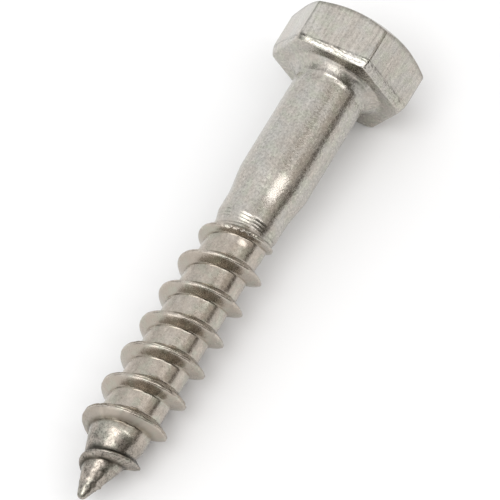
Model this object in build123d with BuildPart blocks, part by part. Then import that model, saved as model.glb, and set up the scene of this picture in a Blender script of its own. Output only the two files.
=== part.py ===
"""Hexagon-head lag screw (coach screw), 8 x 50 mm, headed and rolled as one piece of stainless steel.

The screw lies as it comes to rest: one flat of the head is down, and a thread crest near the point
touches the same floor. +X runs along the screw to the head, +Z is up, and the floor is at Z = 0.
Depths are measured along the axis, from the bearing face under the head towards the point.
"""

import os
from math import atan2, ceil, cos, floor, radians, sin, tan

from build123d import *

# Head
length = 50.0  # from the bearing face to the tip of the point
across_flats = 12.8
corner_rounding = 0.8  # radius on the six upright corners
head_height = 5.2
crown_setback = 0.35  # from each flat to the flat circle that the crown chamfer leaves on top
crown_chamfer = 30.0  # degrees below the flat top
bevel_height = 0.9  # bevel that the trimming die leaves round the lower edge of the head
bevel_angle = 10.0  # degrees that the bevel leans in from the flats
corner_cut = 0.49  # how far the sharp corners are cut back on the bearing face
corner_trim = 65.0  # degrees above the bearing face

# Shank and neck
shank_diameter = 7.25
head_fillet = 1.0
taper_depth = 12.4  # where the shank starts to narrow
taper_length = 2.8
taper_rounding = 6.0
neck_diameter = 6.4

# Thread
crest_diameter = 8.0
core_diameter = 5.7
pitch = 3.7
flank_angle = 60.0  # degrees between the two flanks
crest_land = 0.24
plain_neck = 1.8  # length of the neck from the taper to where the ridge comes out of it
run_out = 4.6  # length over which the ridge grows to its full height
crest_phase = 7.8  # from the ridge's start to one of its crests straight under the flat that is down
step_length = 1.3  # cone from the neck down to the core
step_rounding = 1.5

# Gimlet point
point_angle = 42.0  # degrees, whole angle of the cone
tip_radius = 0.5
shoulder_rounding = 6.0  # where the core turns into the cone
fade_reach = 7.7  # from where the ridge starts to sink towards the cone to the tip
fade_length = 4.3
low_ridge = 0.35  # height of the ridge that is left low on the cone
ridge_end = 1.3  # gap along the axis from the end of the ridge to the tip

# How the ridge is joined to the body, and how finely its curves are worked out
root_overlap = 0.35  # how far the ridge reaches below the surface of the core
buried = 0.1  # how far each end of the ridge dips under the surface
rail_steps = 6  # steps along each half turn of a rail
nudge = 0.001  # depth either side of a point, to take the slope of a rail there

# Worked out from the sizes above
head_apothem = across_flats / 2
sharp_radius = head_apothem / cos(radians(30))
crown_radius = head_apothem - crown_setback
bearing_radius = sharp_radius - corner_cut
neck_radius = neck_diameter / 2
core_full = core_diameter / 2
ridge_height = (crest_diameter - core_diameter) / 2
half_flank = radians(flank_angle / 2)
half_point = radians(point_angle / 2)
taper_end = taper_depth + taper_length
thread_depth = taper_end + plain_neck
core_depth = thread_depth + step_length
crest_at_flat = thread_depth + crest_phase
fade_depth = length - fade_reach
low_depth = fade_depth + fade_length
last_depth = length - ridge_end
cone_end = length - tip_radius + tip_radius * sin(half_point)
cone_end_radius = tip_radius * cos(half_point)
shoulder_depth = cone_end - (core_full - cone_end_radius) / tan(half_point)


def ramp(depth, start, span, change):
    """Straight change with depth: nothing before the start, and all of it after the span."""
    return change * min(max((depth - start) / span, 0), 1)


def body_radius(depth):
    """Radius of the neck, the core or the cone, without the thread."""
    straight = neck_radius - ramp(depth, thread_depth, step_length, neck_radius - core_full)
    cone = cone_end_radius + (cone_end - depth) * tan(half_point)
    return min(straight, cone)


def crest_radius(depth):
    """Radius of the crest: it climbs out of the neck, runs level, and then follows the cone down."""
    start = neck_radius - buried
    climb = start + ramp(depth, thread_depth, run_out, crest_diameter / 2 - start)
    fade = ramp(depth, fade_depth, fade_length, ridge_height - low_ridge)
    vanish = ramp(depth, low_depth, last_depth - low_depth, low_ridge + buried)
    return min(climb, body_radius(depth) + ridge_height - fade - vanish)


def foot_radius(depth):
    """Radius of the ridge's foot, sunk into the body."""
    return min(body_radius(depth), core_full) - root_overlap


def crest_angle(depth):
    """Angle of the crest about the axis in radians, for a right-hand thread; straight down is -90 degrees."""
    return radians(-90 - 360 * (depth - crest_at_flat) / pitch)


# The crests straight under the axis, and the shallowest line from the bevel's upper edge to one of them
turns_before = floor((crest_at_flat - thread_depth) / pitch)
turns_after = floor((last_depth - crest_at_flat) / pitch)
low_crests = [crest_at_flat + pitch * turn for turn in range(-turns_before, turns_after + 1)]
tilt = min(atan2(head_apothem - crest_radius(depth), depth + bevel_height) for depth in low_crests)

# Frame of the screw as it lies: its Z runs up the axis to the head, and its Y points away from the floor
head_reach = head_height * cos(tilt) + crown_radius * sin(tilt)
point_reach = length * cos(tilt)
seat = Plane(
    origin=((point_reach - head_reach) / 2, 0, head_apothem * cos(tilt) - bevel_height * sin(tilt)),
    x_dir=(0, 1, 0),
    z_dir=(cos(tilt), 0, sin(tilt)),
)
screw_axis = Axis(seat.origin, seat.z_dir)
half_section = Plane(seat.origin, x_dir=seat.x_dir, z_dir=-seat.y_dir)


def on_rail(side, radius_at, depth):
    """Point on a long edge of the ridge, on the head's side (1) or the point's side (-1) of its crest."""
    radius = radius_at(depth)
    half_width = crest_land / 2 + (crest_radius(depth) - radius) * tan(half_flank)
    angle = crest_angle(depth)
    spot = Vector(radius * cos(angle), radius * sin(angle), side * half_width - depth)
    return seat.from_local_coords(spot)


def rail(side, radius_at, start, end):
    """Curve along a long edge of the ridge, between two depths."""
    depths = [start + (end - start) * step / rail_steps for step in range(rail_steps + 1)]
    points = [on_rail(side, radius_at, depth) for depth in depths]
    slopes = [
        (on_rail(side, radius_at, depth + nudge) - on_rail(side, radius_at, depth - nudge)) / (2 * nudge)
        for depth in (start, end)
    ]
    return Edge.make_spline(points, tangents=slopes, parameters=depths, scale=False)


def thread_ridge():
    """The ridge of the thread, half a turn at a time: two flanks, the crest, and a foot inside the body."""
    halves = ceil(2 * (last_depth - thread_depth) / pitch)
    span = (last_depth - thread_depth) / halves
    skins = []
    for half in range(halves):
        start = thread_depth + span * half
        rails = [
            rail(side, radius_at, start, start + span)
            for side, radius_at in ((1, crest_radius), (1, foot_radius), (-1, foot_radius), (-1, crest_radius))
        ]
        skins += [Face.make_surface_from_curves(rails[k - 1], rails[k]) for k in range(len(rails))]
        if half == 0:
            skins.append(Face(Wire.make_polygon([edge @ 0 for edge in rails])))
        if half == halves - 1:
            skins.append(Face(Wire.make_polygon([edge @ 1 for edge in rails])))
    return Solid(Shell(skins))


with BuildPart() as screw:
    with BuildSketch(seat.offset(bevel_height)) as hexagon:
        RegularPolygon(head_apothem, 6, major_radius=False)
        fillet(hexagon.vertices(), corner_rounding)
    extrude(amount=head_height - bevel_height)
    extrude(hexagon.sketch, amount=bevel_height, dir=-seat.z_dir, taper=bevel_angle)

    # Turned outline of the head: chamfered crown, and corners trimmed at the bearing face
    trim_height = corner_cut * tan(radians(corner_trim))
    crown_drop = (sharp_radius - crown_radius) * tan(radians(crown_chamfer))
    with BuildSketch(half_section):
        with BuildLine():
            Polyline(
                (0, 0),
                (bearing_radius, 0),
                (sharp_radius, trim_height),
                (sharp_radius, head_height - crown_drop),
                (crown_radius, head_height),
                (0, head_height),
                close=True,
            )
        make_face()
    revolve(axis=screw_axis, mode=Mode.INTERSECT)

    # Turned outline of the shank, neck, core and point
    with BuildSketch(half_section):
        with BuildLine():
            outline = FilletPolyline(
                (shank_diameter / 2, 0),
                (shank_diameter / 2, -taper_depth),
                (neck_radius, -taper_end),
                (neck_radius, -thread_depth),
                (core_full, -core_depth),
                (core_full, -shoulder_depth),
                (cone_end_radius, -cone_end),
                radius=[taper_rounding, taper_rounding, step_rounding, step_rounding, shoulder_rounding],
            )
            tip = TangentArc(outline @ 1, (0, -length), tangent=outline % 1)
            Polyline(tip @ 1, (0, 0), outline @ 0)
        make_face()
    revolve(axis=screw_axis)

    bearing_face = screw.faces().filter_by(Plane(seat.origin, z_dir=-seat.z_dir)).sort_by(screw_axis)[0]
    under_head = bearing_face.inner_wires()[0].edges()
    fillet(under_head, head_fillet)

    add(thread_ridge())

screw.part.label = "lag_screw"
os.makedirs("parts", exist_ok=True)
export_step(screw.part, "parts/lag_screw.step")
print(screw.part.label, "volume", round(screw.part.volume), "mm3, box", screw.part.bounding_box().size)
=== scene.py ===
"""Hexagon-head lag screw of stainless steel, lying on a pale floor under a soft overhead light.

The screw is one skin. Columns run round its axis and rows run along it, from the middle of the crown to
the tip of the point. Sizes are in millimetres in the screw's own axes (x and y across, z up the axis to
the head), and place() puts them into the row frame in metres. Depth is -z, from the bearing face down.
Turns and angles run round the axis from x, which lies level, to y, which points away from the floor.
"""

import math

import bpy
import numpy as np
from mathutils import Matrix, Vector


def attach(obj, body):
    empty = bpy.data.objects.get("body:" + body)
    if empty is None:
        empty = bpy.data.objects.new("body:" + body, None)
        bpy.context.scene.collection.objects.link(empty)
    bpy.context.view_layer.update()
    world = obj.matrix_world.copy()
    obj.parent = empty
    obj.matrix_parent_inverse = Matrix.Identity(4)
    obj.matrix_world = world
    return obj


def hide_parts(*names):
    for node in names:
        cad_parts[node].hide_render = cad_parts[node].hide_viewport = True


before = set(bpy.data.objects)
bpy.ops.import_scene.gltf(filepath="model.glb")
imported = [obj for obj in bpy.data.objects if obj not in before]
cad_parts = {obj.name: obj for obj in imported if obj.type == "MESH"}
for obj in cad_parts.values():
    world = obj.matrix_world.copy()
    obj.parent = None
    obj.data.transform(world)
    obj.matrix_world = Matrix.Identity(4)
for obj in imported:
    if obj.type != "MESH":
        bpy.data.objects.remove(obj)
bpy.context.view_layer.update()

# ---------------------------------------------------------------- sizes, in millimetres

# Head
APOTHEM = 6.4
CORNER_ROUNDING = 0.8  # of the two corners at the sides as the screw lies
CRISP_ROUNDING = 0.35  # of the other four
HEAD_HEIGHT = 5.2
CROWN_RADIUS = 6.05
CROWN_SLOPE = math.tan(math.radians(30))
BEVEL_HEIGHT = 0.9
BEVEL_SLOPE = math.tan(math.radians(17))
CORNER_CUT = 0.49
BEARING_RADIUS = APOTHEM / math.cos(math.radians(30)) - CORNER_CUT
TRIM_SLOPE = math.tan(math.radians(65))
HEAD_FILLET = 1.03  # how far the fillet runs down the shank
FILLET_REACH = 1.25  # how far it runs out over the bearing face
FILLET_CONE = 0.7  # share of its outline that is a straight cone

# Shank, thread and point
LENGTH = 50.0  # from the bearing face to the tip
SHANK_RADIUS = 3.625
NECK_RADIUS = 3.2
CREST_RADIUS = 4.0
CORE_RADIUS = 2.85
RIDGE = CREST_RADIUS - CORE_RADIUS
PITCH = 3.7
LAND = 0.24  # width of the crest
FLANK_SLOPE = 1 / math.tan(math.radians(30))
THREAD_DEPTH = 17.0  # where the ridge comes out of the neck
STEP_LENGTH = 1.3  # of the cone from the neck down to the core
RUN_OUT = 4.6  # length over which the ridge grows to its full height
CREST_AT_FLAT = 24.8  # depth of a crest straight under the flat that is down
FADE_DEPTH = 42.3  # where the ridge starts to sink towards the cone
FADE_LENGTH = 4.3
LOW_DEPTH = FADE_DEPTH + FADE_LENGTH
LOW_RIDGE = 0.35  # height of the ridge that is left low on the cone
LAST_DEPTH = 48.7  # where the ridge ends
BURIED = 0.1  # how far each end of it dips under the surface
TIP_RADIUS = 0.5
HALF_POINT = math.radians(21)
CONE_SLOPE = math.tan(HALF_POINT)
CONE_END = LENGTH - TIP_RADIUS + TIP_RADIUS * math.sin(HALF_POINT)
CONE_END_RADIUS = TIP_RADIUS * math.cos(HALF_POINT)
SHOULDER_DEPTH = CONE_END - (CORE_RADIUS - CONE_END_RADIUS) / CONE_SLOPE

# Depth, change of slope and half length of each soft corner of the turned outline
OUTLINE_CORNERS = (
    (12.35, -0.425 / 2.8, 0.18),
    (15.15, 0.425 / 2.8, 0.4),
    (17.38, -0.28 / 1.04, 0.07),
    (18.42, 0.28 / 1.04, 0.15),
    (20.0, -0.07 / 0.5, 0.08),
    (20.5, 0.07 / 0.5, 0.08),
    (SHOULDER_DEPTH - 0.5, -CONE_SLOPE * 0.85, 0.22),
    (SHOULDER_DEPTH + 2.83, -CONE_SLOPE * 0.15, 0.55),
)

# How late the crest comes out of the neck, and how far the last turns spread towards the tip
LATE_END, LATE_LENGTH, LATE = 21, 2.5, 0.3
SPREAD_START, SPREAD_LENGTH, SPREAD = 40.5, 6, 0.8

# Columns round the skin, and rows along it
COLUMNS = 192
INNER_RING = 0.4  # radius of the first row on the crown
CROWN_ROWS, SIDE_ROWS, FACE_ROWS, FILLET_ROWS, SHANK_ROWS, NECK_ROWS, TIP_ROWS = 6, 8, 7, 22, 29, 40, 7
BEVEL_HEIGHTS = np.concatenate([np.linspace(1.42, 0.62, 15), np.linspace(0.57, 0.12, 13)])  # of its rows
FINE_TOP = 16.7  # depth where the rows close up for the rings on the neck
HELIX_TOP = 18.4  # depth where the rows start to follow the helix
HELIX_END = 49.3
ROWS_PER_PITCH = 40
CROWDING, CROWDING_POWER = 0.62, 2.2  # how strongly these rows crowd on the crest
FIRST_CREST = CREST_AT_FLAT - PITCH / 4  # depth of a crest at turn 0, a quarter of a turn from the flat

# Size of the rounding along each edge of the head, and the rows on it
CROWN_BEND, CHAMFER_BEND, BEARING_BEND = (0.16, 5), (0.12, 6), (0.12, 5)

# ---------------------------------------------------------------- marks that the dies left, and painted shade

# One side of the screw only: the middle angle of each mark and painted shade, and how far it reaches, in
# degrees
LOW_BEVEL = (58, 58)
FULL_CORNER = (120, 40)
FACE_REFLECTION_SIDE = (94, 32)
HATCHING = (126, 26)
FILLET_EDGE_SHADE = (107, 62)
FILLET_DARK_BAND = (138, 32)
FILLET_FOOT = (32, 34)
RING_SHADE = (129, 32)
TORN_SIDE = (98, 48)
BEAK_SIDE = (197, 11)
GROOVE_SIDE = (55, 75)
CORE_SHADE_SIDE = (68, 42)

# Along the axis: where each mark and painted shade starts, how far it takes to come, where it ends and how
# far it takes to go
FINE_LINES_SPAN = (16.9, 0.8, 21.5, 2)
TORN_SPAN = (16.9, 0.8, 21.5, 1)
BEAK_SPAN = (19, 3, 46, 0.8)
CORE_SHADE_SPAN = (18.5, 1.5, 42, 1.5)
SEAM_SPAN = (26, 14, 43.6, 1.2)
GROOVE_SPAN = (43.2, 0.9, 46.8, 0.8)
DENTS_SPAN = (45.5, 1.5, 49.6, 0.8)
SCORE_SPAN = (-0.03, 0.06, 0.48, 0.45)  # in the same order, but upwards from the line of the bevel

# Bevel: how far its line drops on one side and wanders, the rounding along it, and what the die tore
BEVEL_DROP, BEVEL_WANDER, BEVEL_ROUNDING = 0.3, 0.03, 0.14
SCORE_DEPTH, TEAR_DEPTH = 0.035, 0.014
WORN_BAND = (0.45, 0.75)  # height in the middle of the worn part of the head, and its reach
FULL_CORNER_RISE = 0.25  # how much less one corner is cut back
EDGE_ROUNDING = 0.04

# Dents and rings on the fillet
DENT_DEPTH, DIE_RING_DEPTH = 0.02, 0.018

# Rings on the neck and lines beside the first crest: their places along the axis, half widths and depths
NECK_RINGS, RING_HALF, RING_DEPTH = (17.62, 17.97, 18.26), 0.12, 0.028
FINE_LINES, LINE_HALF, LINE_DEPTH = (-0.8, -0.43), 0.1, 0.035

# Dents on the cone, and burrs beside the tip: height, turn and its reach, depth and its reach
POINT_DENT = 0.03
BURRS = ((0.2, 0.53, 0.045, 48.12, 0.3), (0.12, 0.515, 0.05, 48.62, 0.25))

# Ridge: its rounding on the crest, towards the head and towards the point, and where it meets the body
HEAD_ROUNDING, POINT_ROUNDING, FOOT_ROUNDING = 0.03, 0.07, 0.05

# Crest: how far it wanders, how much a seam widens it, and the depths of seams, nicks and torn places
CREST_WANDER, LAP_WIDTH = 0.03, 0.12
SEAM_DEPTH, DARK_SEAM = 0.12, 0.13  # the seam's mask is full at the second depth
NICK_DEPTH = 0.02
TORN_DEPTH, TORN_RAGGEDNESS = 0.1, 0.16

# Beaks at the crests' right side in the photograph, and how much the last one stands out over the others
BEAK_HEIGHT, LAST_BEAK_HEIGHT, LAST_BEAK = 0.09, 0.08, (44.6, 1.2)

# Painted shade in the roots of the crests: its width, and how much wider it is on the last full turn and on
# the cone
ROOT_WIDTH, LAST_ROOT_WIDTH, CONE_ROOT_WIDTH = 0.11, 0.3, 0.06
LAST_TURN = (41.2, 1.8)

# Flanks: where each starts beside the middle of the crest, and the height over the body where it is full
HEAD_FLANK_START, POINT_FLANK_START, FLANK_HEIGHT = -0.04, 0.16, 0.2


def ramp(depth, start, span, change):
    """Straight change with depth: none before the start, and all of it after the span.

    With a span below zero it is the other way round, and none of the change is left after the start.
    """
    return change * np.clip((depth - start) / span, 0, 1)


def between(value, start, rise, end, fall):
    """0 outside the start and the end, with a straight rise after the one and a straight fall to the other.

    Between the rise and the fall it is 1, and where the two meet it is their product.
    """
    return ramp(value, start, rise, 1) * ramp(value, end, -fall, 1)


def bump_at(value, middle, half):
    """1 at the middle and falling to 0 at half away, along a cosine."""
    return (1 + np.cos(np.pi * np.clip((value - middle) / half, -1, 1))) / 2


def soft_max(a, b, width):
    """The larger of two values, rounded over the given width where they cross."""
    return (a + b + np.sqrt((a - b) ** 2 + width**2)) / 2


def soft_min(a, b, width):
    """The smaller of two values, rounded in the same way."""
    return -soft_max(-a, -b, width)


def unevenness(turn, along, waves, seed):
    """Sum of random sine waves with whole numbers of waves round the axis, from about -1 to 1.

    waves is the number of sines, the most waves round the axis, and the most waves in a millimetre along it.
    """
    count, most_round, most_along = waves
    draw = np.random.default_rng(seed)
    total = np.zeros(np.broadcast(turn, along).shape)
    for _ in range(count):
        round_waves = draw.integers(-most_round, most_round + 1)
        along_waves = draw.uniform(-most_along, most_along)
        total += np.sin(2 * np.pi * (round_waves * turn + along_waves * along + draw.random()))
    return total / math.sqrt(2 * count)


# ---------------------------------------------------------------- plain outline of the shaft


def soft_corner(offset, half):
    """Nothing before a corner and the offset itself after it, joined by a parabola half long each way."""
    curved = (np.clip(offset, -half, half) + half) ** 2 / (4 * half)
    return curved + np.maximum(offset - half, 0)


def body_radius(depth):
    """Shank radius plus each change of slope times the distance past its soft corner, and a round tip."""
    radius = SHANK_RADIUS + sum(turn * soft_corner(depth - at, half) for at, turn, half in OUTLINE_CORNERS)
    ball = np.sqrt(np.maximum(TIP_RADIUS**2 - (depth - LENGTH + TIP_RADIUS) ** 2, 0))
    return np.where(depth > CONE_END, ball, radius)


def plain_body(depth):
    """The body without its rounded corners, which the crest's height is counted from."""
    straight = NECK_RADIUS - ramp(depth, THREAD_DEPTH, STEP_LENGTH, NECK_RADIUS - CORE_RADIUS)
    return np.minimum(straight, CONE_END_RADIUS + (CONE_END - depth) * CONE_SLOPE)


def crest_radius(depth):
    """The crest climbs out of the neck, runs level, and then sinks with the cone until it is buried."""
    start = NECK_RADIUS - BURIED
    climb = start + ramp(depth, THREAD_DEPTH, RUN_OUT, CREST_RADIUS - start)
    fade = ramp(depth, FADE_DEPTH, FADE_LENGTH, RIDGE - LOW_RIDGE)
    vanish = ramp(depth, LOW_DEPTH, LAST_DEPTH - LOW_DEPTH, LOW_RIDGE + BURIED)
    top = np.minimum(climb, plain_body(depth) + RIDGE - fade - vanish)
    return np.where((depth < THREAD_DEPTH) | (depth > LAST_DEPTH), 0, top)


# ---------------------------------------------------------------- how the screw lies

# The shallowest line from the upper edge of the bevel to one of the crests straight under the axis
low_crests = CREST_AT_FLAT + PITCH * np.arange(-2, 7)
TILT = float(np.min(np.arctan2(APOTHEM - crest_radius(low_crests), low_crests + BEVEL_HEIGHT)))
AXIS = np.array([math.cos(TILT), 0, math.sin(TILT)])
ACROSS = np.array([0, 1, 0])
UP = np.array([-math.sin(TILT), 0, math.cos(TILT)])
SEAT = np.array(
    [
        ((LENGTH - HEAD_HEIGHT) * math.cos(TILT) - CROWN_RADIUS * math.sin(TILT)) / 2,
        0,
        APOTHEM * math.cos(TILT) - BEVEL_HEIGHT * math.sin(TILT),
    ]
)


def place(x, y, z):
    """Point of the screw's own axes in millimetres, put where the screw lies, in metres."""
    local = x[..., None] * ACROSS + y[..., None] * UP + z[..., None] * AXIS
    return (SEAT + local) / 1000


# ---------------------------------------------------------------- head


def hexagon_radius(degrees, inset):
    """Radius of the rounded hexagon at each angle, with its sides moved in by the inset.

    On a flat it is the apothem over the cosine of the angle from the flat's middle. Near a corner it is
    where the ray meets the corner's circle. The corners at 0 and 180 degrees are rounder than the others.
    """
    from_corner = np.radians((degrees + 30) % 60 - 30)
    from_flat = np.radians(30) - np.abs(from_corner)
    size = np.where(np.abs((degrees + 90) % 180 - 90) < 30, CORNER_ROUNDING, CRISP_ROUNDING)
    centre = (APOTHEM - size) / math.cos(math.radians(30))
    rounding = size - inset
    reach = np.sqrt(np.maximum(rounding**2 - (centre * np.sin(from_corner)) ** 2, 0))
    on_corner = centre * np.cos(from_corner) + reach
    on_flat = (APOTHEM - inset) / np.cos(from_flat)
    flat_ends = np.arctan((APOTHEM - size) * math.tan(math.radians(30)) / APOTHEM)
    return np.where(from_flat <= flat_ends, on_flat, on_corner)


def rounded_bend(before, corner, after, size, steps):
    """Rows along the curve that rounds a corner: a quadratic curve from size before it to size after it."""
    into = (before - corner) / np.linalg.norm(before - corner, axis=-1, keepdims=True)
    out = (after - corner) / np.linalg.norm(after - corner, axis=-1, keepdims=True)
    s = np.linspace(0, 1, steps)[:, None, None]
    return corner + size * (into * (1 - s) ** 2 + out * s**2)


def straight_rows(start, end, steps):
    """Rows from one outline to another, without the two ends."""
    s = np.linspace(0, 1, steps + 2)[1:-1, None, None]
    return start + (end - start) * s


def outline_point(radius, z):
    """A point of the outline for every column, as (radius, z)."""
    return np.stack(np.broadcast_arrays(np.asarray(radius, float), np.asarray(z, float)), -1)


def hexagon_columns():
    """Angles of the columns on the head, crowded at the six corners."""
    q = np.arange(COLUMNS) / COLUMNS * 6
    return 60 * (q - 0.75 * np.sin(2 * np.pi * q) / (2 * np.pi))


def bevel_rows(degrees):
    """The lowest part of the sides, down to just above the bearing face, with painted shade along its score
    and the dark of its torn parts.

    The trimming die has torn the bevel, so its upper line wanders, and a shallow score runs above it. The
    corners are cut back by a cone as well, and the smaller of the two radii counts.
    """
    turn = degrees / 360
    heights = BEVEL_HEIGHTS[:, None]
    line = BEVEL_HEIGHT - BEVEL_WANDER - BEVEL_DROP * bump_at(degrees, *LOW_BEVEL)
    line = line + BEVEL_WANDER * unevenness(turn, 0, (14, 90, 0), 3)
    line = line + BEVEL_WANDER * unevenness(turn, 0, (6, 12, 0), 4)
    above = heights - line
    score = between(above, *SCORE_SPAN) * (0.8 + 0.35 * unevenness(turn, heights, (9, 60, 1), 5))
    tears = (above < 0) * (1 + unevenness(turn, heights, (24, 80, 4), 6))
    inset = BEVEL_SLOPE * soft_max(-above, 0, BEVEL_ROUNDING) + SCORE_DEPTH * score + TEAR_DEPTH * tears
    trimmed = BEARING_RADIUS + heights / TRIM_SLOPE + FULL_CORNER_RISE * bump_at(degrees, *FULL_CORNER)

    # painted shade along the score above the bevel's line
    score_shade = bump_at(above, 0.05, 0.1) * (0.75 + 0.5 * unevenness(turn, 0, (10, 60, 0), 7))
    torn = bump_at(above, -0.08, 0.28) * np.maximum(unevenness(turn, heights, (24, 80, 4), 12), 0)
    outline = outline_point(soft_min(hexagon_radius(degrees, inset), trimmed, EDGE_ROUNDING), heights)
    return outline, np.maximum(score_shade, 1.3 * torn)


def head_rows():
    """Outline of the head carried round the hexagon, from the crown to the edge of the bearing face.

    Gives the outline, the columns' angles, and the painted shade along the chamfer, the corners and the
    bevel's score, with the dark of the bevel's torn parts.
    """
    degrees = hexagon_columns()
    full = hexagon_radius(degrees, 0)
    everywhere = np.ones(COLUMNS)
    middle = outline_point(INNER_RING * everywhere, HEAD_HEIGHT)
    crown_edge = outline_point(CROWN_RADIUS * everywhere, HEAD_HEIGHT)
    chamfer_foot = outline_point(full, HEAD_HEIGHT - (full - CROWN_RADIUS) * CROWN_SLOPE)
    bevel, bevel_dark = bevel_rows(degrees)
    bevel_foot = hexagon_radius(degrees, BEVEL_HEIGHT * BEVEL_SLOPE)
    bearing_edge = outline_point(soft_min(bevel_foot, BEARING_RADIUS, 0.05), 0)
    fillet_edge = outline_point((SHANK_RADIUS + FILLET_REACH) * everywhere, 0)

    crown_bend = rounded_bend(middle, crown_edge, chamfer_foot, *CROWN_BEND)
    chamfer_bend = rounded_bend(crown_edge, chamfer_foot, bevel[0], *CHAMFER_BEND)
    bearing_bend = rounded_bend(bevel[-1], bearing_edge, fillet_edge, *BEARING_BEND)
    crown = np.concatenate([middle[None], straight_rows(middle, crown_bend[0], CROWN_ROWS), crown_bend])
    sides = straight_rows(chamfer_bend[-1], bevel[0], SIDE_ROWS)
    rows = np.concatenate([crown, chamfer_bend, sides, bevel, bearing_bend])

    chamfer_end = len(crown) + len(chamfer_bend)
    bevel_start = chamfer_end + len(sides)
    dark = np.zeros(rows.shape[:2])
    # painted dark reflection along the chamfer
    dark[len(crown) : chamfer_end] = 0.6
    dark[bevel_start : bevel_start + len(bevel)] = bevel_dark
    # painted shade along the six corners of the sides
    from_corner = np.abs((degrees + 30) % 60 - 30)
    corner_shade = 0.5 * bump_at(from_corner, 0, 1.6) * (rows[..., 1] > 0.1)
    corner_shade[: chamfer_end - 2] = 0  # the corners start in the last two rows of the chamfer's bend
    return rows, degrees, np.maximum(dark, corner_shade)


def fillet_rows():
    """From the bearing face to the shank, with shallow dents and fine rings from the heading die.

    The outline is a straight cone for one share and a quarter of an ellipse for the rest. Gives how dark it
    is
    painted as well: hatching, painted shade along the outer edge, a darker band below it on one side, and a
    dark line at the foot with painted shade beside it on one side.
    """
    share = np.linspace(0, 1, FILLET_ROWS)[:, None]
    arc = np.radians(90 * share)
    turn = np.arange(COLUMNS)[None, :] / COLUMNS
    angle = 360 * turn
    radius = SHANK_RADIUS + FILLET_REACH * (1 - FILLET_CONE * share - (1 - FILLET_CONE) * np.sin(arc))
    z = -HEAD_FILLET * (FILLET_CONE * share + (1 - FILLET_CONE) * (1 - np.cos(arc)))
    dents = DENT_DEPTH * unevenness(turn, share, (16, 12, 1.2), 8)
    rings = DIE_RING_DEPTH * unevenness(turn, share, (12, 3, 4.0), 9)
    sunk = (dents + rings) * np.sin(arc * 2)

    hatching = bump_at(angle, *HATCHING) ** 0.5 * bump_at(share, 0.3, 0.4) ** 0.5
    hatching = hatching * (0.8 + 0.9 * unevenness(turn, share, (12, 3, 4.5), 10))
    # painted shade along the crease at the outer edge, on one side
    edge = 0.7 * bump_at(share, 0.02, 0.08) * bump_at(angle, *FILLET_EDGE_SHADE)
    dark_band = 0.3 * bump_at(angle, *FILLET_DARK_BAND) * bump_at(share, 0.5, 0.6)
    # a dark line at the foot, and painted shade beside it on one side
    foot_line = 0.4 * bump_at(share, 0.85, 0.08)
    foot_shade = 0.35 * bump_at(share, 0.9, 0.25) * bump_at(angle, *FILLET_FOOT)
    foot = (foot_line + foot_shade) * (0.6 + 0.6 * unevenness(turn, share, (12, 40, 1), 13))
    return outline_point(radius - sunk, z - sunk), np.clip(hatching + edge + dark_band + foot, 0, 1)


# ---------------------------------------------------------------- shaft


def crest_place(even_depth):
    """True depth of a crest whose depth on an even helix is given.

    The crest comes out of the neck late, and the last turns spread with the square of the distance past
    the start of the spread.
    """
    late = ramp(even_depth, LATE_END, -LATE_LENGTH, LATE)
    spread = SPREAD * (np.maximum(even_depth - SPREAD_START, 0) / SPREAD_LENGTH) ** 2
    return even_depth + late + spread


def nearest_crest(turn, depth):
    """Depth on the even helix of the crest that is nearest to each point."""
    at_turn = FIRST_CREST - PITCH * turn
    return at_turn + PITCH * np.round((depth - at_turn) / PITCH)


def neck_marks(turn, depth, past_crest, crest_depth):
    """Depth of the rings on the neck and the lines beside the first crest, and the painted shade in them."""
    uneven = 0.7 + 0.5 * unevenness(turn, depth, (8, 7, 0.3), 11)
    rings = sum(bump_at(depth, middle, RING_HALF) for middle in NECK_RINGS)
    lines = sum(bump_at(past_crest, middle, LINE_HALF) for middle in FINE_LINES)
    lines = lines * between(crest_depth, *FINE_LINES_SPAN)
    dark_side = bump_at(360 * turn, *RING_SHADE) ** 0.5
    # painted shade in the rings and lines, in the rings strongest on one side
    dark = uneven * (rings * (0.15 + 0.95 * dark_side) + 0.85 * lines)
    return uneven * (RING_DEPTH * rings + LINE_DEPTH * lines), dark


def point_marks(turn, depth):
    """Height of the dents that pinching left on the cone, and of the burrs beside them."""
    marks = POINT_DENT * (unevenness(turn, depth, (24, 9, 1.4), 31) - 0.6) * between(depth, *DENTS_SPAN)
    for height, at_turn, turn_reach, at_depth, depth_reach in BURRS:
        marks = marks + height * bump_at(turn, at_turn, turn_reach) * bump_at(depth, at_depth, depth_reach)
    return marks


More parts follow.
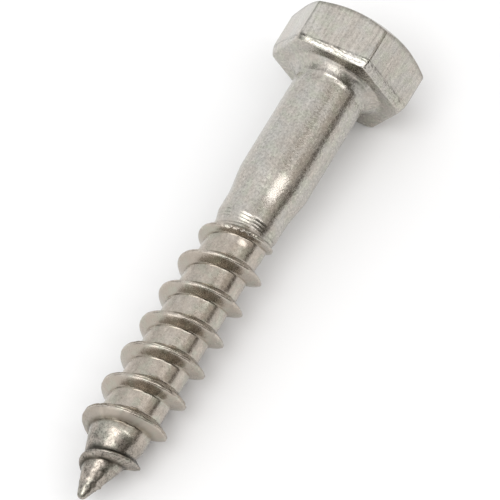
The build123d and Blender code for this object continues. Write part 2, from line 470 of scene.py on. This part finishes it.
def shaft_masks(turn, depth, past_crest, crest_depth, above_body, stands_out):
    """Masks for painted shade in the roots, in the groove, on the flanks and on one side of the core, and
    for scratches.

    above_body is how far the ridge is above the body, and stands_out is where its crest clears the body.
    The painted shade of the root lies on the point's side of a crest and fades with the square of the height
    over its width. The painted shade of the groove lies on the head's side of the last turn, and is wider on
    the left of the photograph. The core is painted darker on one side, as shade from its flanks.
    """
    root_width = ROOT_WIDTH + LAST_ROOT_WIDTH * bump_at(crest_depth, *LAST_TURN)
    root_width = root_width + ramp(crest_depth, 43, 1, CONE_ROOT_WIDTH)
    on_ridge = ramp(above_body, 0, FLANK_HEIGHT, 1)
    point_flank = on_ridge * ramp(past_crest, POINT_FLANK_START, 0.1, 1)
    left = bump_at(360 * turn, *GROOVE_SIDE)
    groove = bump_at(past_crest, -0.36 - 0.14 * left, 0.32 + 0.28 * left) ** 0.6
    scratches = 1.5 * ramp(crest_depth, 42, 2, 1) * unevenness(turn, depth, (30, 90, 0.15), 25)
    return {
        "root": np.exp(-((above_body / root_width) ** 2)) * stands_out * (past_crest > 0),
        "groove": groove * between(crest_depth, *GROOVE_SPAN),
        "head_flank": on_ridge * ramp(past_crest, HEAD_FLANK_START, -0.06, 1) * ramp(crest_depth, 19, 2, 1),
        "point_flank": point_flank,
        "scratch": point_flank * scratches,
        # painted shade on one side of the core between the crests, where its flanks shade it
        "core_shade": (1 - on_ridge) * bump_at(360 * turn, *CORE_SHADE_SIDE) * between(depth, *CORE_SHADE_SPAN),
    }


def shaft_radius(turn, depth, even_crest):
    """The body, or the ridge where it stands higher, rounded where they meet. Gives masks as well.

    The ridge falls from its crest by the distance past the flat part times the slope of its flanks. The
    rolling dies have torn the first crest, and on the lower turns they have left a seam along the crest.
    """
    crest_depth = crest_place(even_crest)
    past_crest = depth - crest_depth
    lap = between(crest_depth, *SEAM_SPAN) * (0.75 + 0.35 * unevenness(turn, crest_depth, (10, 6, 0.2), 21))
    wander = CREST_WANDER * unevenness(turn, crest_depth, (12, 30, 0.3), 22)
    half_flat = LAND / 4 + LAP_WIDTH * lap  # the rest of the land is taken up by its rounded edges
    past_flat = np.maximum(np.abs(past_crest - wander * lap) - half_flat, 0)
    rounding = np.where(past_crest < 0, HEAD_ROUNDING, POINT_ROUNDING)
    off_crest = np.sqrt(past_flat**2 + rounding**2) - rounding

    torn = bump_at(360 * turn, *TORN_SIDE) * between(crest_depth, *TORN_SPAN)
    torn = torn * bump_at(past_crest, -0.02, 0.32)
    ragged = unevenness(turn, depth, (30, 60, 2.0), 23)
    tear = torn * (TORN_DEPTH + TORN_RAGGEDNESS * ragged)
    seam = lap * SEAM_DEPTH * bump_at(past_crest, wander * 1.5 - 0.02, 0.08)
    nicks = NICK_DEPTH * np.maximum(unevenness(turn, depth, (16, 40, 1.0), 24), 0)
    beak = BEAK_HEIGHT + LAST_BEAK_HEIGHT * bump_at(crest_depth, *LAST_BEAK)
    beak = beak * bump_at(360 * turn, *BEAK_SIDE) * between(crest_depth, *BEAK_SPAN)

    neck_depth, neck_shade = neck_marks(turn, depth, past_crest, crest_depth)
    body = body_radius(depth) - neck_depth + point_marks(turn, depth)
    top = crest_radius(crest_depth) + beak
    ridge = np.maximum(top - off_crest * FLANK_SLOPE - tear - seam - nicks, body - 1)

    masks = shaft_masks(turn, depth, past_crest, crest_depth, ridge - body, top > body + 0.05)
    masks["seam"] = seam / DARK_SEAM + 1.4 * torn * np.maximum(ragged, 0)
    masks["line"] = neck_shade
    return soft_max(body, ridge, FOOT_ROUNDING), masks


def helix_offsets():
    """Distances of the rows from the crest over one pitch, crowded on the crest."""
    q = np.arange(ROWS_PER_PITCH) / ROWS_PER_PITCH * 2 - 1
    return PITCH / 2 * ((1 - CROWDING) * q + CROWDING * np.sign(q) * np.abs(q) ** CROWDING_POWER)


# ---------------------------------------------------------------- one skin

SHAPE_MASKS = ("depth", "root", "groove", "head_flank", "point_flank")
MARK_AND_SHADE_MASKS = ("seam", "scratch", "torn_edge", "line", "core_shade")
MASKS = SHAPE_MASKS + MARK_AND_SHADE_MASKS


class Skin:
    """Rows of points gathered into one closed mesh, with a value for each painted mask."""

    def __init__(self):
        self.points, self.triangles, self.count = [], [], 0
        self.masks = {name: [] for name in MASKS}

    def add(self, x, y, z, masks=None):
        """Adds points and their masks, and gives their numbers in the shape of the arrays."""
        numbers = self.count + np.arange(x.size).reshape(x.shape)
        self.points.append(np.stack([x, y, z], -1).reshape(-1, 3))
        values = {"depth": -z, **(masks or {})}
        for name in MASKS:
            self.masks[name].append(np.broadcast_to(values.get(name, 0.0), x.shape).ravel())
        self.count += x.size
        return numbers

    def ring(self, turn, radius, z, masks=None):
        """Adds points on circles round the axis; turn is the share of a whole turn."""
        angle = 2 * np.pi * turn
        return self.add(radius * np.cos(angle), radius * np.sin(angle), z * np.ones_like(radius), masks)

    def pole(self, z):
        """Adds one point on the axis, and gives a row in which every column has its number."""
        return np.broadcast_to(self.add(np.zeros(1), np.zeros(1), np.full(1, z)), (1, COLUMNS))

    def join(self, *parts):
        """Sews each row of the parts to the next one, all the way round."""
        rows = np.concatenate(parts)
        beside = np.roll(rows, -1, -1)
        self.sew(rows[:-1], beside[:-1], beside[1:], rows[1:])

    def sew(self, a, b, c, d):
        """Two triangles for each four-sided patch a, b, c, d, without those that have no width."""
        both = np.concatenate([np.stack(corners, -1).reshape(-1, 3) for corners in ([a, b, c], [a, c, d])])
        thin = (both[:, 0] == both[:, 1]) | (both[:, 1] == both[:, 2]) | (both[:, 0] == both[:, 2])
        self.triangles.append(both[~thin])


def shaft_rings(skin, even, depths):
    """Adds plain rings of the shaft at the given depths, and gives their rows."""
    depth = depths[:, None] * np.ones(COLUMNS)
    turn = np.broadcast_to(even, depth.shape)
    radius, masks = shaft_radius(turn, depth, nearest_crest(turn, depth))
    return skin.ring(turn, radius, -depth, masks)


def head_rings(skin, even):
    """Adds the crown, the sides, the bearing face and the fillet, and gives their rows."""
    rows, degrees, dark = head_rows()
    turns = np.broadcast_to(degrees / 360, rows.shape[:2])
    masks = {"torn_edge": bump_at(rows[..., 1], *WORN_BAND), "line": dark}
    sides = skin.ring(turns, rows[..., 0], rows[..., 1], masks)
    crown = skin.pole(HEAD_HEIGHT)

    # the columns move from the hexagon's spacing to an even one over the bearing face
    fillet, fillet_dark = fillet_rows()
    face = straight_rows(rows[-1], fillet[0], FACE_ROWS)
    # painted dark reflection in a crescent on one side of the bearing face
    face_reflection = np.tile(0.6 * bump_at(degrees, *FACE_REFLECTION_SIDE), (len(face), 1))
    rows = np.concatenate([face, fillet])
    share = np.clip(np.arange(len(rows)) / len(face), 0, 1)[:, None]
    turns = degrees / 360 * (1 - share) + even * share
    masks = {"line": np.concatenate([face_reflection, fillet_dark])}
    below = skin.ring(turns, rows[..., 0], rows[..., 1], masks)
    return np.concatenate([crown, sides, below])


def thread_rings(skin, even):
    """Rows along the helix, cut off at the depths where it starts and ends, and sewn to each other.

    From one column to the next the rows fall by a share of the pitch, so the last column meets the first
    one a whole pitch of rows further up.
    """
    first = FIRST_CREST - PITCH * even
    turns_up = math.ceil((first.max() - HELIX_TOP) / PITCH) + 1
    pitches = turns_up + math.ceil((HELIX_END - first.min()) / PITCH) + 1
    along = np.arange(pitches)[:, None, None] - turns_up
    crests = (first + PITCH * along) * np.ones((1, ROWS_PER_PITCH, 1))
    depth = crest_place((crests + helix_offsets()[None, :, None]).reshape(-1, COLUMNS))
    top_row = (depth <= HELIX_TOP).sum(0) - 1
    end_row = len(depth) - (depth >= HELIX_END).sum(0)
    depth = np.clip(depth, HELIX_TOP, HELIX_END)
    turn = np.broadcast_to(even, depth.shape)
    radius, masks = shaft_radius(turn, depth, crests.reshape(-1, COLUMNS))
    thread = skin.ring(turn, radius, -depth, masks)

    row = np.arange(len(depth))[:, None]
    here = np.take_along_axis(thread, np.clip(row, top_row, end_row), 0)
    shifted = np.clip(row - ROWS_PER_PITCH, top_row[0], end_row[0])
    beside = np.concatenate([here[:, 1:], thread[shifted, 0]], 1)
    skin.sew(here[:-1], beside[:-1], beside[1:], here[1:])
    return here


def build_screw():
    """All the rows from the crown to the tip, sewn into one skin. Gives points, triangles and masks."""
    skin = Skin()
    even = np.arange(COLUMNS) / COLUMNS
    head = head_rings(skin, even)
    shank_depths = np.linspace(HEAD_FILLET, FINE_TOP, SHANK_ROWS + 1)[1:]
    neck_depths = np.linspace(FINE_TOP, HELIX_TOP, NECK_ROWS + 2)[1:-1]
    shank = shaft_rings(skin, even, np.concatenate([shank_depths, neck_depths]))
    thread = thread_rings(skin, even)
    tip = shaft_rings(skin, even, np.linspace(HELIX_END, LENGTH, TIP_ROWS + 2)[1:-1])
    skin.join(head, shank, thread[:1])
    skin.join(thread[-1:], tip, skin.pole(-LENGTH))

    points = np.concatenate(skin.points)
    used, renumbered = np.unique(np.concatenate(skin.triangles), return_inverse=True)
    masks = {name: np.concatenate(values)[used] for name, values in skin.masks.items()}
    return points[used], renumbered.reshape(-1, 3), masks


def make_mesh(name, world, triangles, masks):
    """Mesh object from points in metres, triangles and one value per point for each named mask."""
    mesh = bpy.data.meshes.new(name)
    mesh.vertices.add(len(world))
    mesh.vertices.foreach_set("co", world.astype(np.float32).ravel())
    mesh.loops.add(triangles.size)
    mesh.loops.foreach_set("vertex_index", triangles.astype(np.int32).ravel())
    mesh.polygons.add(len(triangles))
    mesh.polygons.foreach_set("loop_start", np.arange(0, triangles.size, 3, dtype=np.int32))
    mesh.polygons.foreach_set("use_smooth", np.ones(len(triangles), bool))
    for mask, values in masks.items():
        mesh.attributes.new(mask, "FLOAT", "POINT").data.foreach_set("value", values.astype(np.float32))
    mesh.update(calc_edges=True)
    mesh.validate()
    piece = bpy.data.objects.new(name, mesh)
    bpy.context.scene.collection.objects.link(piece)
    return piece


points, triangles, masks = build_screw()
world = place(points[:, 0], points[:, 1], points[:, 2])
screw = make_mesh("steel_screw", world, triangles[:, ::-1], masks)

# ---------------------------------------------------------------- steel

COOL = (0.485, 0.463, 0.426, 1)
WARM = (0.478, 0.425, 0.368, 1)
GREEN = (0.468, 0.466, 0.396, 1)
DARK_BROWN = (0.20, 0.165, 0.12, 1)
BLACK = (0.05, 0.046, 0.038, 1)
STREAK_SHRINK = 0.06  # streaks are about sixteen times as long as they are wide
BUMP_DISTANCE = 0.00002

# Depths between which the steel changes from one look to the next
HEAD_TO_SHANK = (-0.5, 0.5)
SHANK_TO_THREAD = (15, 20)
THREAD_TINT_START = (16, 21)
LAST_FLANK_START = (39.5, 41)
POINT_START = (41.5, 44.5)


class Nodes:
    """Short names for the few kinds of node that the steel and the sky need."""

    def __init__(self, tree):
        self.nodes, self.links = tree.nodes, tree.links

    def put(self, socket, value):
        """A value or another node's output into a socket."""
        if isinstance(value, bpy.types.NodeSocket):
            self.links.new(value, socket)
        else:
            socket.default_value = value

    def mask(self, name):
        """Value painted on the mesh."""
        node = self.nodes.new("ShaderNodeAttribute")
        node.attribute_name = name
        return node.outputs["Fac"]

    def noise(self, where, scale, detail=2.0, roughness=0.5):
        """Noise from about 0.3 to 0.7 at a scale in features per metre."""
        node = self.nodes.new("ShaderNodeTexNoise")
        self.put(node.inputs["Vector"], where)
        self.put(node.inputs["Scale"], scale)
        self.put(node.inputs["Detail"], detail)
        self.put(node.inputs["Roughness"], roughness)
        return node.outputs["Fac"]

    def span(self, value, low, high, out_low=0.0, out_high=1.0, smooth=False):
        """Value from low to high carried onto out_low to out_high, and held there beyond them."""
        node = self.nodes.new("ShaderNodeMapRange")
        node.interpolation_type = "SMOOTHSTEP" if smooth else "LINEAR"
        self.put(node.inputs["Value"], value)
        ends = {"From Min": low, "From Max": high, "To Min": out_low, "To Max": out_high}
        for name, number in ends.items():
            self.put(node.inputs[name], number)
        return node.outputs["Result"]

    def math(self, kind, a, b):
        """One operation on two values."""
        node = self.nodes.new("ShaderNodeMath")
        node.operation = kind
        self.put(node.inputs[0], a)
        self.put(node.inputs[1], b)
        return node.outputs["Value"]

    def plus(self, a, b):
        """Sum of two values."""
        return self.math("ADD", a, b)

    def times(self, a, b):
        """Product of two values."""
        return self.math("MULTIPLY", a, b)

    def varied(self, shade, where, change):
        """A shade times one more than the change, as far as the mask where lets it."""
        return self.times(shade, self.plus(1, self.times(where, change)))

    def blend(self, share, a, b):
        """Colour a turned into colour b by a share."""
        node = self.nodes.new("ShaderNodeMix")
        node.data_type = "RGBA"
        self.put(node.inputs["Factor"], share)
        self.put(node.inputs["A"], a)
        self.put(node.inputs["B"], b)
        return node.outputs["Result"]

    def scaled(self, colour, factor):
        """A colour times a value."""
        node = self.nodes.new("ShaderNodeVectorMath")
        node.operation = "SCALE"
        self.put(node.inputs[0], colour)
        self.put(node.inputs["Scale"], factor)
        return node.outputs["Vector"]


class Steel(Nodes):
    """The noises and masks of the satin steel, and the colour, roughness and relief made from them."""

    def __init__(self, tree):
        super().__init__(tree)
        self.where = self.nodes.new("ShaderNodeTexCoord").outputs["Object"]
        drawn = self.nodes.new("ShaderNodeMapping")
        drawn.inputs["Rotation"].default_value = (0, TILT, 0)
        drawn.inputs["Scale"].default_value = (STREAK_SHRINK, 1, 1)
        self.put(drawn.inputs["Vector"], self.where)
        self.drawn = drawn.outputs["Vector"]

        self.grain = self.noise(self.where, 3800, 3, 0.6)
        self.streaks = self.noise(self.drawn, 2600, 3, 0.65)
        self.patches = self.noise(self.where, 900, 3)
        self.dirt = self.noise(self.where, 1500, 4, 0.7)

        self.depth = self.mask("depth")
        self.root = self.mask("root")
        self.point_flank = self.mask("point_flank")
        self.on_thread = self.span(self.depth, *THREAD_TINT_START, 0, 0.8, smooth=True)
        self.at_point = self.span(self.depth, *POINT_START, smooth=True)
        self.off_flank = self.span(self.point_flank, 0, 1, 1, 0.12)

    def tint(self):
        """Cool on the head and shank and warm on the thread, with soft patches of warm and of green."""
        warm_patches = self.span(self.noise(self.where, 420, 2), 0.42, 0.6, 0, 0.5)
        tint = self.blend(self.plus(self.on_thread, warm_patches), COOL, WARM)
        return self.blend(self.span(self.patches, 0.48, 0.64, 0, 0.7), tint, GREEN)

    def shade(self):
        """The product of all that makes the steel lighter or darker than 1.

        Grain, streaks, specks and blotches fade out on the flanks. The head has fine drawn lines, and the
        point has dirt and pits.
        """
        on_head = self.span(self.depth, *HEAD_TO_SHANK, 1, 0, smooth=True)
        contrast = self.span(self.depth, *HEAD_TO_SHANK, 0.16, 0.22)
        contrast = self.times(contrast, self.span(self.depth, *SHANK_TO_THREAD, 1, 0.6))
        specks = self.noise(self.where, 6500, 1)
        blotches = self.noise(self.where, 1000, 3, 0.65)
        drawn_lines = self.noise(self.drawn, 4200, 3, 0.7)
        pits = self.noise(self.where, 5200, 3, 0.6)

        shade = self.plus(1, self.times(contrast, self.span(self.grain, 0.3, 0.7, -1, 1)))
        shade = self.times(shade, self.span(self.streaks, 0.3, 0.7, 0.93, 1.07))
        shade = self.times(shade, self.span(specks, 0.6, 0.72, 1.0, 0.75))
        shade = self.varied(shade, self.on_thread, self.span(blotches, 0.35, 0.65, -0.13, 0.13))
        shade = self.plus(1, self.times(self.plus(shade, -1), self.off_flank))
        shade = self.varied(shade, on_head, self.span(drawn_lines, 0.35, 0.65, 0.17, -0.08))
        shade = self.varied(shade, self.at_point, self.span(self.dirt, 0.35, 0.65, -0.4, -0.02))
        return self.varied(shade, self.at_point, self.span(pits, 0.5, 0.62, 0, -0.5))

    def with_shade_and_marks(self, colour):
        """A colour with brown painted shade in the roots, on the flanks and on one side of the core, brown
        in the seams and torn crests, black painted shade in the groove and the roots at the point, black in
        the lines, which are partly painted shade and partly marks, and black in the scratches.
        """
        # brown painted shade in the roots, on the flanks and on one side of the core, and brown in the seams
        # and torn crests
        brown_shade_and_seams = (
            self.times(self.root, self.span(self.dirt, 0.3, 0.6, 0.55, 0.95)),
            self.times(self.mask("head_flank"), 0.6),
            self.times(self.point_flank, self.span(self.at_point, 0, 1, 0.16, 0.02)),
            self.times(self.mask("seam"), self.span(self.dirt, 0.35, 0.6, 0.2, 0.9)),
            self.times(self.mask("core_shade"), self.span(self.patches, 0.35, 0.6, 0.12, 0.34)),
        )
        # black painted shade in the roots at the point and in the groove, black in the lines, partly painted
        # shade, and in the scratches
        black = (
            self.times(self.times(self.at_point, self.root), self.span(self.dirt, 0.3, 0.55, 0.7, 1.0)),
            self.times(self.mask("groove"), self.span(self.dirt, 0.3, 0.5, 0.8, 1.1)),
            self.times(self.mask("line"), self.span(self.dirt, 0.3, 0.6, 0.25, 0.8)),
            self.times(self.mask("scratch"), 0.7),
        )
        for share in brown_shade_and_seams:
            colour = self.blend(share, colour, DARK_BROWN)
        for share in black:
            colour = self.blend(self.span(share, 0, 1), colour, BLACK)
        return colour

    def roughness(self):
        """Satin, and duller on the flank of the last full turn and at the point."""
        satin = self.span(self.grain, 0.3, 0.7, 0.2, 0.3)
        last_flank = self.times(self.point_flank, self.span(self.depth, *LAST_FLANK_START, 0, 0.2))
        return self.plus(self.plus(satin, last_flank), self.times(self.at_point, 0.05))

    def relief(self):
        """Normal from the grain and the streaks, weaker on the thread, and from the worn bevel and point."""
        strength = self.span(self.depth, *SHANK_TO_THREAD, 1, 0.35, smooth=True)
        fine = self.times(self.plus(self.grain, self.times(self.streaks, 0.35)), strength)
        fine = self.times(fine, self.off_flank)
        worn = self.plus(self.mask("torn_edge"), self.times(self.at_point, 1.1))
        height = self.plus(fine, self.times(worn, self.noise(self.where, 2600, 4, 0.7)))
        bump = self.nodes.new("ShaderNodeBump")
        bump.inputs["Distance"].default_value = BUMP_DISTANCE
        self.put(bump.inputs["Height"], height)
        return bump.outputs["Normal"]


def new_material(name):
    """A material with nodes, and its shader."""
    material = bpy.data.materials.new(name)
    material.use_nodes = True
    return material, material.node_tree.nodes["Principled BSDF"]


def steel_material():
    """Satin stainless steel."""
    material, shader = new_material("satin_steel")
    shader.inputs["Metallic"].default_value = 1
    steel = Steel(material.node_tree)
    steel.put(shader.inputs["Base Color"], steel.with_shade_and_marks(steel.scaled(steel.tint(), steel.shade())))
    steel.put(shader.inputs["Roughness"], steel.roughness())
    steel.put(shader.inputs["Normal"], steel.relief())
    return material


screw.data.materials.append(steel_material())
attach(screw, "root")
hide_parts("lag_screw")

# ---------------------------------------------------------------- floor, light and camera, in metres

FLOOR_HALF = 3.0
LAMP_DISTANCE = 1.5
CARD_DISTANCE = 1.2
SQUARE = ((-1, -1), (1, -1), (1, 1), (-1, 1))


def matt(name, colour):
    """Plain matt paint for the floor and the studio's cards."""
    material, shader = new_material(name)
    shader.inputs["Base Color"].default_value = (*colour, 1)
    shader.inputs["Roughness"].default_value = 0.9
    shader.inputs["Specular IOR Level"].default_value = 0.1
    return material


def flat_sheet(name, corners, material):
    """One four-sided sheet through four corners."""
    mesh = bpy.data.meshes.new(name)
    mesh.from_pydata([tuple(c) for c in corners], [], [(0, 1, 2, 3)])
    mesh.materials.append(material)
    sheet = bpy.data.objects.new(name, mesh)
    bpy.context.scene.collection.objects.link(sheet)
    return sheet


def direction(azimuth, elevation):
    """Unit vector at an azimuth from +X towards +Y and an elevation above the floor, in degrees."""
    a, e = math.radians(azimuth), math.radians(elevation)
    return np.array([math.cos(a) * math.cos(e), math.sin(a) * math.cos(e), math.sin(e)])


def seen_size(degrees, distance):
    """Size of a thing that is the given number of degrees across at a distance."""
    return 2 * distance * math.tan(math.radians(degrees / 2))


def stand(name, data, x_axis, y_axis, z_axis, spot):
    """Links a lamp or a camera as an object with the given axes at a spot."""
    thing = bpy.data.objects.new(name, data)
    turn = Matrix([Vector(x_axis), Vector(y_axis), Vector(z_axis)]).transposed().to_4x4()
    turn.translation = Vector(spot)
    thing.matrix_world = turn
    bpy.context.scene.collection.objects.link(thing)
    return thing


def softbox(name, start, end, width, radiance):
    """Area light between two directions seen from the screw, width degrees across, facing the screw.

    Its power is the radiance times pi times its area.
    """
    start, end = np.array(start), np.array(end)
    towards = (start + end) / np.linalg.norm(start + end)
    along = (end - start) / np.linalg.norm(end - start)
    along = along - towards * (along @ towards)
    along = along / np.linalg.norm(along)
    lamp = bpy.data.lights.new(name, "AREA")
    lamp.shape = "RECTANGLE"
    lamp.size = LAMP_DISTANCE * float(np.linalg.norm(end - start))
    lamp.size_y = seen_size(width, LAMP_DISTANCE)
    lamp.energy = radiance * math.pi * lamp.size * lamp.size_y
    stand(name, lamp, along, np.cross(towards, along), towards, towards * LAMP_DISTANCE)


def grey_card(name, azimuth, elevation, width, height, grey):
    """Plain grey card, width by height degrees as seen from the screw, which shows only in the steel."""
    towards = direction(azimuth, elevation)
    level = np.cross([0, 0, 1], towards)
    level = level / np.linalg.norm(level)
    rise = np.cross(towards, level)
    half_w, half_h = seen_size(width, CARD_DISTANCE) / 2, seen_size(height, CARD_DISTANCE) / 2
    corners = [towards * CARD_DISTANCE + level * sx * half_w + rise * sy * half_h for sx, sy in SQUARE]
    paint = matt(name + "_grey", (0, 0, 0))
    shader = paint.node_tree.nodes["Principled BSDF"]
    shader.inputs["Emission Color"].default_value = (*grey, 1)
    shader.inputs["Emission Strength"].default_value = 1
    card = flat_sheet(name, corners, paint)
    card.visible_camera = False
    card.visible_shadow = False
    card.visible_diffuse = False


def studio_sky():
    """Even light all round, a little stronger and cooler to the side of +Y, and stronger above.

    It is the product of two straight changes: of the colour with the direction's y, and from 0.96 to 1.1
    with its z.
    """
    sky = bpy.data.worlds.new("studio")
    sky.use_nodes = True
    n = Nodes(sky.node_tree)
    where = n.nodes.new("ShaderNodeTexCoord")
    parts = n.nodes.new("ShaderNodeSeparateXYZ")
    n.put(parts.inputs["Vector"], where.outputs["Generated"])
    side = n.blend(n.span(parts.outputs["Y"], -1, 1), (0.83, 0.8, 0.78, 1), (1.05, 1.07, 1.09, 1))
    n.put(n.nodes["Background"].inputs["Color"], side)
    n.put(n.nodes["Background"].inputs["Strength"], n.span(parts.outputs["Z"], 0.3, 0.9, 0.96, 1.1))
    return sky


floor_corners = [(sx * FLOOR_HALF, sy * FLOOR_HALF, 0) for sx, sy in SQUARE]
flat_sheet("floor", floor_corners, matt("pale_floor", (0.84, 0.84, 0.84)))
softbox("long_softbox", (-0.28, 0.33, 0.9), (-0.49, -0.27, 0.83), 26, 3.0)
softbox("small_softbox", (0.06, -0.34, 0.94), (0.06, -0.79, 0.61), 10, 2.8)
softbox("low_softbox", (-0.93, 0.32, 0.17), (-0.97, 0.04, 0.17), 20, 2.05)
grey_card("right_card", -72, 8, 36, 17, (0.11, 0.09, 0.07))
grey_card("right_upper_card", -66, 30, 30, 24, (0.66, 0.62, 0.57))
grey_card("front_card", -130, 20, 82, 42, (0.14, 0.13, 0.11))
grey_card("camera_card", -122, 44, 26, 18, (0.2, 0.19, 0.17))
grey_card("head_card", -20, 50, 28, 28, (0.28, 0.24, 0.17))
grey_card("left_card", 118, 12, 40, 22, (0.42, 0.42, 0.42))
bpy.context.scene.world = studio_sky()
bpy.context.scene.view_settings.view_transform = "Standard"

# Where the camera stands, and what is to its right, above it and behind it
CAMERA_PLACE = (-0.44020691, -0.29246953, 0.89860686)
CAMERA_RIGHT = (0.48852363, -0.87155459, -0.04168046)
CAMERA_UP = (0.76126892, 0.4023892, 0.50848064)
CAMERA_BACK = (-0.42639687, -0.28013485, 0.86006405)
SENSOR_WIDTH = 36
FOCAL_LENGTH = 782.82  # in millimetres, as the sensor is
CLIP_START, CLIP_END = 0.05, 20


def set_camera():
    """Long lens at the photograph's viewing angle."""
    lens = bpy.data.cameras.new("camera")
    lens.sensor_width = SENSOR_WIDTH
    lens.lens = FOCAL_LENGTH
    lens.clip_start, lens.clip_end = CLIP_START, CLIP_END
    bpy.context.scene.camera = stand("camera", lens, CAMERA_RIGHT, CAMERA_UP, CAMERA_BACK, CAMERA_PLACE)


set_camera()
